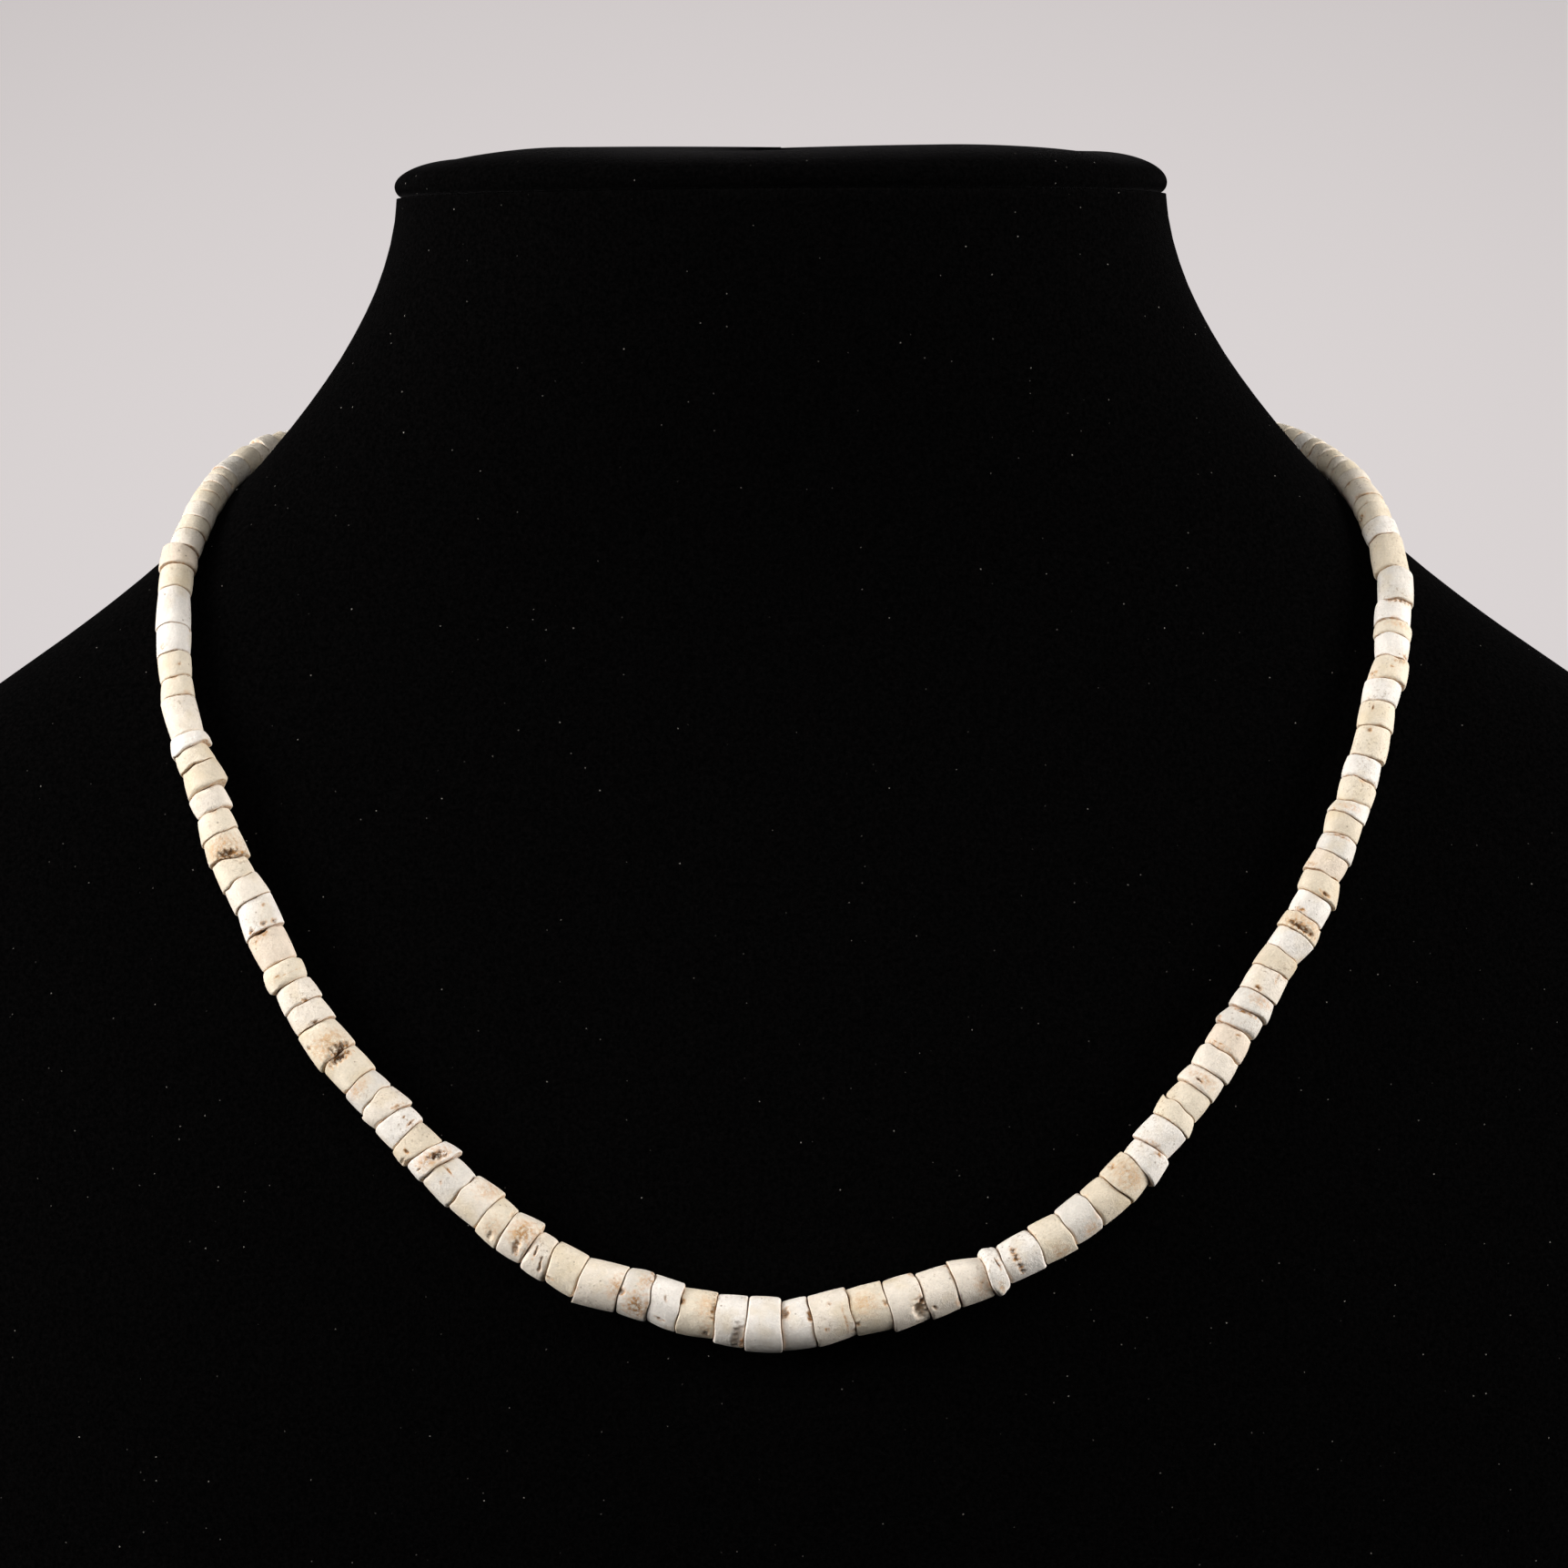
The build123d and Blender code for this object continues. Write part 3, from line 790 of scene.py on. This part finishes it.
clasp_half = float((clasp_high - clasp_low)[0]) / 2
to_end = np.array([[clasp_half - IN_CLASP, 0, 0]])
line = smooth_line(np.concatenate([clasp_middle - to_end, centre, clasp_middle + to_end]), THREAD_STEPS)
direction = unit(np.gradient(line, axis=0))
upright = unit(np.array([0.0, 0.0, 1.0]) - direction[:, 2:] * direction)
across = np.cross(direction, upright)
travelled = np.concatenate([[0], np.cumsum(np.linalg.norm(np.diff(line, axis=0), axis=1))])
angle = ring_angles(THREAD_COLUMNS)
twist = 2 * np.pi * travelled[:, None] / TWIST_LENGTH
lobes = THREAD_RADIUS * (1 - LOBE + LOBE * np.cos(2 * (angle[None] - twist)))
spoke = np.cos(angle)[None, :, None] * upright[:, None] + np.sin(angle)[None, :, None] * across[:, None]
tube = line[:, None] + lobes[..., None] * spoke
first, last = (np.broadcast_to(line[end], tube[:1].shape) for end in (0, -1))
tube = np.concatenate([first, tube, last])
thread_piece = grid_mesh("twisted_thread", tube[None])
print("thread runs", round(travelled[-1] / MM, 1), "mm")

# %% [markdown]
# Cotton thread is matt and a little fuzzy, and old thread is the brown of the soil in the
# beads. The fibres are far finer than shows, so they are drawn as flecks of 0.3 mm.

# %% The thread's finish
cotton, tree, shader, place = new_material("twisted_cotton")
fibres = add_node(tree, "TexNoise", {"Vector": place, "Scale": per_mm(0.3), "Detail": 4})
fibre_tone = add_node(tree, "Mix", {
    MIX_FACTOR: fibres, MIX_A: linear("#5B4631"), MIX_B: linear("#A58D6B"),
}, data_type="RGBA")
fibre_bump = add_node(tree, "Bump", {"Height": fibres, "Strength": 0.5, "Distance": 0.05 * MM})
give(tree, shader, {"Base Color": fibre_tone, "Normal": fibre_bump, "Roughness": 0.9, "Sheen Weight": 0.2})
finish_piece(thread_piece, cotton, "thread")

# %% [markdown]
# ## The clasp
#
# A plain barrel clasp closes the loop at the nape. It is turned on a lathe, so its skin is
# one profile carried round an axis: a collar at each end, a tapered shoulder, and a barrel
# with the fine line where its two halves screw together.

# %% Make the clasp
CLASP_RADIUS = 2.0 * MM
CLASP_END = 1.1 * MM
CLASP_COLLAR = 1.2 * MM
CLASP_BORE = 0.55 * MM
CLASP_BORE_DEPTH = 1.75 * MM
CLASP_COLUMNS = 64
GROOVE = 0.16 * MM
EDGE = 0.12 * MM

shoulder, collar = clasp_half - 2 * CLASP_COLLAR, clasp_half - CLASP_COLLAR
half_profile = np.array([
    # distance from the middle, radius
    (0, CLASP_RADIUS - GROOVE),
    (GROOVE / 2, CLASP_RADIUS - GROOVE),
    (GROOVE, CLASP_RADIUS - EDGE / 4),
    (0.30 * MM, CLASP_RADIUS),
    (shoulder - EDGE, CLASP_RADIUS),
    (shoulder + EDGE / 2, CLASP_RADIUS - EDGE / 2),
    (collar - EDGE / 2, CLASP_END + EDGE / 2),
    (collar + EDGE, CLASP_END),
    (clasp_half - EDGE, CLASP_END),
    (clasp_half - EDGE / 3, CLASP_END - EDGE / 3),
    (clasp_half, CLASP_END - EDGE),
    (clasp_half, CLASP_BORE + EDGE / 2),
    (clasp_half - EDGE / 2, CLASP_BORE),
    (clasp_half - CLASP_BORE_DEPTH, CLASP_BORE),
    (clasp_half - CLASP_BORE_DEPTH, 0),
])
profile = np.concatenate([half_profile[:0:-1] * [-1, 1], half_profile])
along_it, out = profile.T[..., None]
turned = carried_round(out, out, along_it, ring_angles(CLASP_COLUMNS))[..., [2, 0, 1]]
clasp_piece = grid_mesh("barrel_clasp", turned[None] + clasp_middle)
print("clasp", round(2 * clasp_half / MM, 2), "mm long")

# %% [markdown]
# The clasp is nickel-plated brass, turned and lightly brushed: a warm pale grey metal whose
# highlights are drawn out across the turning marks, about 0.05 mm apart and drawn here at
# 0.15 mm.

# %% The clasp's finish
nickel, tree, shader, place = new_material("brushed_nickel_plate")
squeezed = add_node(tree, "Mapping", {"Vector": place, "Scale": (1.0, 0.08, 0.08)})
turning = add_node(tree, "TexNoise", {"Vector": squeezed, "Scale": per_mm(0.15), "Detail": 2})
dullness = add_node(tree, "MapRange", {"Value": turning, "To Min": 0.22, "To Max": 0.46})
ridges = add_node(tree, "Bump", {"Height": turning, "Strength": 0.25, "Distance": 0.02 * MM})
give(tree, shader, {
    "Base Color": linear("#B9B4A8"),
    "Normal": ridges,
    "Roughness": dullness,
    "Metallic": 1.0,
})
finish_piece(clasp_piece, nickel, "clasp")

# %% [markdown]
# ## Black velvet
#
# The bust is wrapped in cotton velvet: short upright pile that swallows light seen straight on
# and gives a breath of it back at a glancing angle. So the colour is nearly black, the
# roughness full, and a thin sheen lies over it. The pile clumps about every 0.5 mm, and specks
# of lint stay on it.

# %% The velvet
velvet, tree, shader, place = new_material("black_cotton_velvet")
pile = add_node(tree, "TexNoise", {"Vector": place, "Scale": per_mm(0.55), "Detail": 4, "Roughness": 0.7})
brushed = add_node(tree, "TexNoise", {"Vector": place, "Scale": per_mm(14.0), "Detail": 2})
pile_light = add_node(tree, "MapRange", {"Value": pile, "From Min": 0.35, "From Max": 0.75})
pile_tone = add_node(tree, "Mix", {
    MIX_FACTOR: pile_light, MIX_A: linear("#020202"), MIX_B: linear("#090808"),
}, data_type="RGBA")
lint = add_node(tree, "TexVoronoi", {"Vector": place, "Scale": per_mm(1.8)})
lint_dot = add_node(tree, "MapRange", {
    "Value": lint, "From Min": 0.035, "From Max": 0.07, "To Min": 1.0, "To Max": 0.0,
})
lint_luck = add_node(tree, "SeparateColor", {"Color": lint.outputs["Color"]})
lint_pick = add_node(tree, "MapRange", {"Value": lint_luck, "From Min": 0.62, "From Max": 1.0})
lint_share = add_node(tree, "Math", {0: lint_dot, 1: lint_pick}, operation="MULTIPLY")
velvet_tone = add_node(tree, "Mix", {
    MIX_FACTOR: lint_share, MIX_A: pile_tone, MIX_B: linear("#7D7872"),
}, data_type="RGBA")
pile_height = add_node(tree, "Math", {0: pile, 1: brushed}, operation="ADD")
pile_bump = add_node(tree, "Bump", {"Height": pile_height, "Strength": 0.6, "Distance": 0.3 * MM})
give(tree, shader, {
    "Base Color": velvet_tone,
    "Normal": pile_bump,
    "Roughness": 1.0,
    "Specular IOR Level": 0.0,
    "Sheen Weight": 0.04,
    "Sheen Roughness": 0.35,
    "Sheen Tint": linear("#A8A4A6"),
})
print("velvet in linear light:", [round(c, 5) for c in linear("#090808")[:3]])

# %% [markdown]
# ## The bust's skin of pile
#
# The model's bust is the firm form under the cloth. Every level section of it is an ellipse,
# so its half widths and half depths are read where the mesh crosses the middle planes. The
# velvet's pile stands 0.4 mm proud of it. Rows drawn in to a point close it below and above.

# %% Make the velvet skin
PILE = 0.40 * MM
FOOT_ROUNDING = 3.0 * MM
FOOT_STEPS, BUST_STEPS, BUST_COLUMNS = 9, 150, 240
CLOSING = (0.98, 0.5, 0)
SAME_LEVEL = 1e-6


def middle_profile(places, triangles, plane):
    """Heights and reaches where the mesh crosses a middle plane, on the side that is below 0."""
    edges = np.concatenate([triangles[:, [0, 1]], triangles[:, [1, 2]], triangles[:, [2, 0]]])
    a, b = places[edges[:, 0]], places[edges[:, 1]]
    crossing = (a[:, plane] <= 0) & (b[:, plane] > 0)
    a, b = a[crossing], b[crossing]
    share = a[:, plane] / (a[:, plane] - b[:, plane])
    on_plane = a + (b - a) * share[:, None]
    heights, reaches = on_plane[:, 2], -on_plane[:, 1 - plane]
    order = np.lexsort((reaches, heights))
    heights, reaches = heights[order], reaches[order]
    outermost = np.append(np.diff(heights) > SAME_LEVEL, True) & (reaches > 0)
    return heights[outermost], reaches[outermost]


form_places, form_triangles = welded(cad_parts["bust_form"])
depth_profile = middle_profile(form_places, form_triangles, 0)
width_profile = middle_profile(form_places, form_triangles, 1)
bust_height = form_places[:, 2].max()
foot = FOOT_ROUNDING * (1 - np.cos(np.linspace(0, np.pi / 2, FOOT_STEPS)))
level = np.concatenate([foot[:-1], np.linspace(FOOT_ROUNDING, bust_height, BUST_STEPS)])[:, None]
half_widths, half_depths = np.interp(level, *width_profile), np.interp(level, *depth_profile)
form = carried_round(half_widths, half_depths, level, ring_angles(BUST_COLUMNS))
round_it = np.roll(form, -1, axis=1) - np.roll(form, 1, axis=1)
pile_skin = form + PILE * unit(np.cross(round_it, np.gradient(form, axis=0)))
pile_skin[..., 2] = np.clip(pile_skin[..., 2], 0, bust_height)
foot_rows = [pile_skin[:1] * [share, share, 0] for share in CLOSING[::-1]]
top_rows = [pile_skin[-1:] * [share, share, 0] + [0, 0, bust_height] for share in CLOSING]
bust_skin = np.concatenate([*foot_rows, pile_skin, *top_rows])
bust_piece = grid_mesh("velvet_bust", bust_skin[None])
finish_piece(bust_piece, velvet, "bust_form")
print("bust profile points:", len(depth_profile[0]), len(width_profile[0]))

# %% [markdown]
# ## The padded cap
#
# A pad wrapped in the same velvet closes the neck. It overhangs the neck a little, its hem
# turns under into a dark seam, and its top edge rolls over softly, wider at the ends. It is
# one profile, drawn in from the neck's ellipse, carried round. Its height follows the pad,
# a little fuller on the right, and the velvet puckers finely where it is drawn over the hem.

# %% Make the cap
CAP_HEM = 1.3 * MM
CAP_HEM_HEIGHT = 1.5 * MM
CAP_ROLL = 10.5 * MM
CAP_DOME = 0.5 * MM
CAP_COLUMNS = 288
FULLER_RIGHT = 0.20
PUCKER = 0.05
PUCKER_WAVES = (7, 11, 17, 26, 41, 58)
PUCKER_HEIGHT, PUCKER_SPREAD = 2.2, 2.0
UNDER_STEPS, HEM_STEPS, ROLL_STEPS, CROWN_STEPS = 12, 9, 25, 17
PAD_SWELLS = [
    # mm higher, turn in radians, spread
    (-0.30, 3.40, 0.18),
    (0.75, 3.95, 0.33),
    (-0.42, 4.50, 0.42),
    (0.35, 5.30, 0.30),
    (-0.50, 5.95, 0.22),
]

cap_low, cap_high = (np.array(corner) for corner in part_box("neck_cap"))
cap_middle = (cap_low + cap_high) / 2
half_width, half_depth, cap_height = (cap_high - cap_low) / [2, 2, 1]


def cap_profile():
    """The cap's profile from under its middle to over it: distance in from the edge, and height.

    The hem is a quarter ellipse, in = width * (1 - sin) and up = height * (1 - cos) of the
    angle turned. So is the roll above it, in = width * (1 - cos) and up = rise * sin.
    """
    under = [(half_depth * share, 0.0) for share in np.linspace(1, 0.06, UNDER_STEPS)]
    bend = np.linspace(0, np.pi / 2, HEM_STEPS)
    hem = np.stack([CAP_HEM * (1 - np.sin(bend)), CAP_HEM_HEIGHT * (1 - np.cos(bend))], axis=1)
    bend = np.linspace(0, np.pi / 2, ROLL_STEPS)[1:]
    rise = cap_height - CAP_HEM_HEIGHT
    roll = np.stack([CAP_ROLL * (1 - np.cos(bend)), CAP_HEM_HEIGHT + rise * np.sin(bend)], axis=1)
    t = np.linspace(0, 1, CROWN_STEPS)[1:]
    domed = cap_height + CAP_DOME * np.sin(t * np.pi / 2)
    crown = np.stack([CAP_ROLL + (half_depth - CAP_ROLL) * t, domed], axis=1)
    return np.concatenate([under, hem, roll, crown])


inwards, up = cap_profile().T
angle = ring_angles(CAP_COLUMNS)
drawn_in = inwards[:, None] / half_depth
reach_x = half_width - inwards[:, None] - (half_width - half_depth) * drawn_in**3
reach_y = half_depth - inwards[:, None]
pad = FULLER_RIGHT * np.cos(angle)
for swell, at, wide in PAD_SWELLS:
    pad = pad + swell * np.exp(-((angle - at) / wide) ** 2)
pucker = np.zeros(CAP_COLUMNS)
for waves_round in PUCKER_WAVES:
    pucker += PUCKER * luck.uniform(0.4, 1) * np.cos(waves_round * angle + luck.uniform(0, 2 * np.pi))
edge = np.exp(-((up[:, None] / MM - PUCKER_HEIGHT) / PUCKER_SPREAD) ** 2) * (inwards[:, None] < CAP_ROLL)
share_up = np.clip(up / cap_height, 0, 1)[:, None]
height = cap_low[2] + up[:, None] + share_up**2 * pad * MM
cap_skin = carried_round(reach_x + pucker * MM * edge, reach_y + pucker * MM * edge, height, angle)
cap_skin[..., :2] += cap_middle[:2]
cap_piece = grid_mesh("velvet_cap", cap_skin[None])
finish_piece(cap_piece, velvet, "neck_cap")

# %% [markdown]
# ## Close the skins and turn them outwards
#
# The end rows of the thread, clasp, cap and bust are many points in one place. They are
# merged, and all faces are turned outwards.

# %% Close the seams
MERGED = 1e-7

for piece in (thread_piece, clasp_piece, bust_piece, cap_piece, *bead_pieces):
    skin = bmesh.new()
    skin.from_mesh(piece.data)
    bmesh.ops.remove_doubles(skin, verts=skin.verts, dist=MERGED)
    bmesh.ops.recalc_face_normals(skin, faces=skin.faces)
    print(piece.name, "open edges", sum(not edge.is_manifold for edge in skin.edges),
          "volume", round(skin.calc_volume(signed=True) / MM**3, 1), "cubic mm")
    skin.to_mesh(piece.data)
    skin.free()

# %% [markdown]
# ## The stage
#
# A plain pale floor rises into a round wall, so no side has a horizon. It glows by itself, so
# it stays even and pale while the lights are set for the beads, and it lights nothing.

# %% The floor and its wall
WALL_RADIUS = 3.3
COVE = 1.2
WALL_HEIGHT = 3.0
FLOOR_STEPS, COVE_STEPS, STAGE_COLUMNS = 12, 24, 96

bend = np.linspace(0, np.pi / 2, COVE_STEPS + 1)
floor_run = np.stack([np.linspace(0, WALL_RADIUS - COVE, FLOOR_STEPS), np.zeros(FLOOR_STEPS)], axis=1)
cove_run = np.stack([WALL_RADIUS - COVE + COVE * np.sin(bend), COVE * (1 - np.cos(bend))], axis=1)[1:]
wall_run = np.array([[WALL_RADIUS, WALL_HEIGHT]])
stage_profile = np.concatenate([floor_run, cove_run, wall_run])
out, up = stage_profile.T[..., None]
stage_skin = carried_round(out, out, up, ring_angles(STAGE_COLUMNS))
stage = grid_mesh("pale_stage", stage_skin[None])
stage.data.flip_normals()
print("stage", 2 * WALL_RADIUS, "m across")

# %% [markdown]
# Matt paper whose glow carries a painted pool of light, palest behind the bust and a little darker outwards.
# Its tone follows the squared distance from the pool's middle, level with the beads, and the pool is drawn
# out sideways.

# %% The stage's finish
POOL_MIDDLE = (0.0, 0.0, 0.1)
POOL_SHAPE = (0.54, 0.0, 1.0)
POOL_END = 0.18

paper, tree, shader, place = new_material("pale_paper")
from_pool = add_node(tree, "VectorMath", {0: place, 1: POOL_MIDDLE}, operation="SUBTRACT")
away = add_node(tree, "VectorMath", {0: from_pool, 1: POOL_SHAPE}, operation="MULTIPLY")
squared = add_node(tree, "VectorMath", {0: away, 1: away}, operation="DOT_PRODUCT").outputs["Value"]
# Painted pool of light: the glow fades from behind the bust outwards.
painted_pool_falloff = add_node(tree, "MapRange", {"Value": squared, "From Max": POOL_END})
painted_pool_glow = add_node(tree, "Mix", {
    MIX_FACTOR: painted_pool_falloff, MIX_A: linear("#DCD6D6"), MIX_B: linear("#C8C2C2"),
}, data_type="RGBA")
give(tree, shader, {
    "Base Color": linear("#5A5858"),
    "Roughness": 1.0,
    "Specular IOR Level": 0.0,
    "Emission Color": painted_pool_glow,
    "Emission Strength": 1.0,
})
stage.data.materials.append(paper)
stage.visible_diffuse = False
stage.visible_glossy = False
print("paper darkens over", round(POOL_END ** 0.5, 2), "m from the pool's middle")

# %% [markdown]
# ## Lights
#
# Two soft lights stand at the left and right, a little before the bust and above the beads,
# each with weaker ones beside it, and one hangs high in front. So the outer faces of the side
# beads and the tops of the front ones are brightest, and their inner and lower sides fall into
# shade. A last one, behind, is for the nape.

# %% Lights
BEADS_MIDDLE, NAPE_MIDDLE = (0.0, -0.02, 0.17), (0.0, 0.02, 0.20)
LIGHTS = [
    # name, place, aimed at, width, height, watts
    ("light_left", (-0.92, -0.30, 0.40), BEADS_MIDDLE, 0.35, 0.50, 12.3),
    ("light_left_front", (-0.70, -0.60, 0.30), BEADS_MIDDLE, 0.35, 0.50, 2.2),
    ("light_right", (1.00, -0.25, 0.40), BEADS_MIDDLE, 0.35, 0.50, 10.2),
    ("light_right_side", (1.05, -0.03, 0.35), BEADS_MIDDLE, 0.35, 0.50, 2.8),
    ("light_right_low", (0.95, -0.45, 0.15), BEADS_MIDDLE, 0.35, 0.50, 2.4),
    ("light_above", (0.0, -0.80, 0.90), BEADS_MIDDLE, 0.40, 0.40, 3.2),
    ("light_behind", (0.0, 0.95, 0.45), NAPE_MIDDLE, 0.60, 0.35, 4.5),
]
for name, at_place, aim, width, height, watts in LIGHTS:
    lamp = bpy.data.lights.new(name, "AREA")
    lamp.shape = "RECTANGLE"
    lamp.size, lamp.size_y, lamp.energy = width, height, watts
    holder = bpy.data.objects.new(name, lamp)
    holder.location = at_place
    holder.rotation_euler = (Vector(aim) - Vector(at_place)).to_track_quat("-Z", "Y").to_euler()
    holder.visible_camera = False
    bpy.context.scene.collection.objects.link(holder)

scene = bpy.context.scene
world = bpy.data.worlds.new("dim_room")
world.use_nodes = True
give(world.node_tree, world.node_tree.nodes["Background"], {"Color": linear("#C8C8CC"), "Strength": 0.004})
scene.world = world
scene.view_settings.view_transform = "Standard"
print("lights:", len(LIGHTS), "of", round(sum(light[-1] for light in LIGHTS), 1), "watts in all")

# %% [markdown]
# ## The camera
#
# It looks from over a metre away with a long lens, a little downwards and very slightly
# rolled, and the bust fills the frame.

# %% Camera
FRAME_SIDE = 1723
LENS_IN_FRAME_UNITS = 8635
SENSOR = 36
LOOKING_DOWN = np.radians(2.46)
ROLL = np.radians(0.4)

camera = bpy.data.objects.new("camera", bpy.data.cameras.new("camera"))
camera.location = (-0.0002, -1.105, 0.208)
looking = Euler((np.pi / 2 - LOOKING_DOWN, 0, 0)).to_matrix() @ Matrix.Rotation(-ROLL, 3, "Z")
camera.rotation_euler = looking.to_euler()
camera.data.sensor_width = SENSOR
camera.data.lens = LENS_IN_FRAME_UNITS / FRAME_SIDE * SENSOR
scene.collection.objects.link(camera)
scene.camera = camera
print("lens", round(camera.data.lens, 1), "mm")
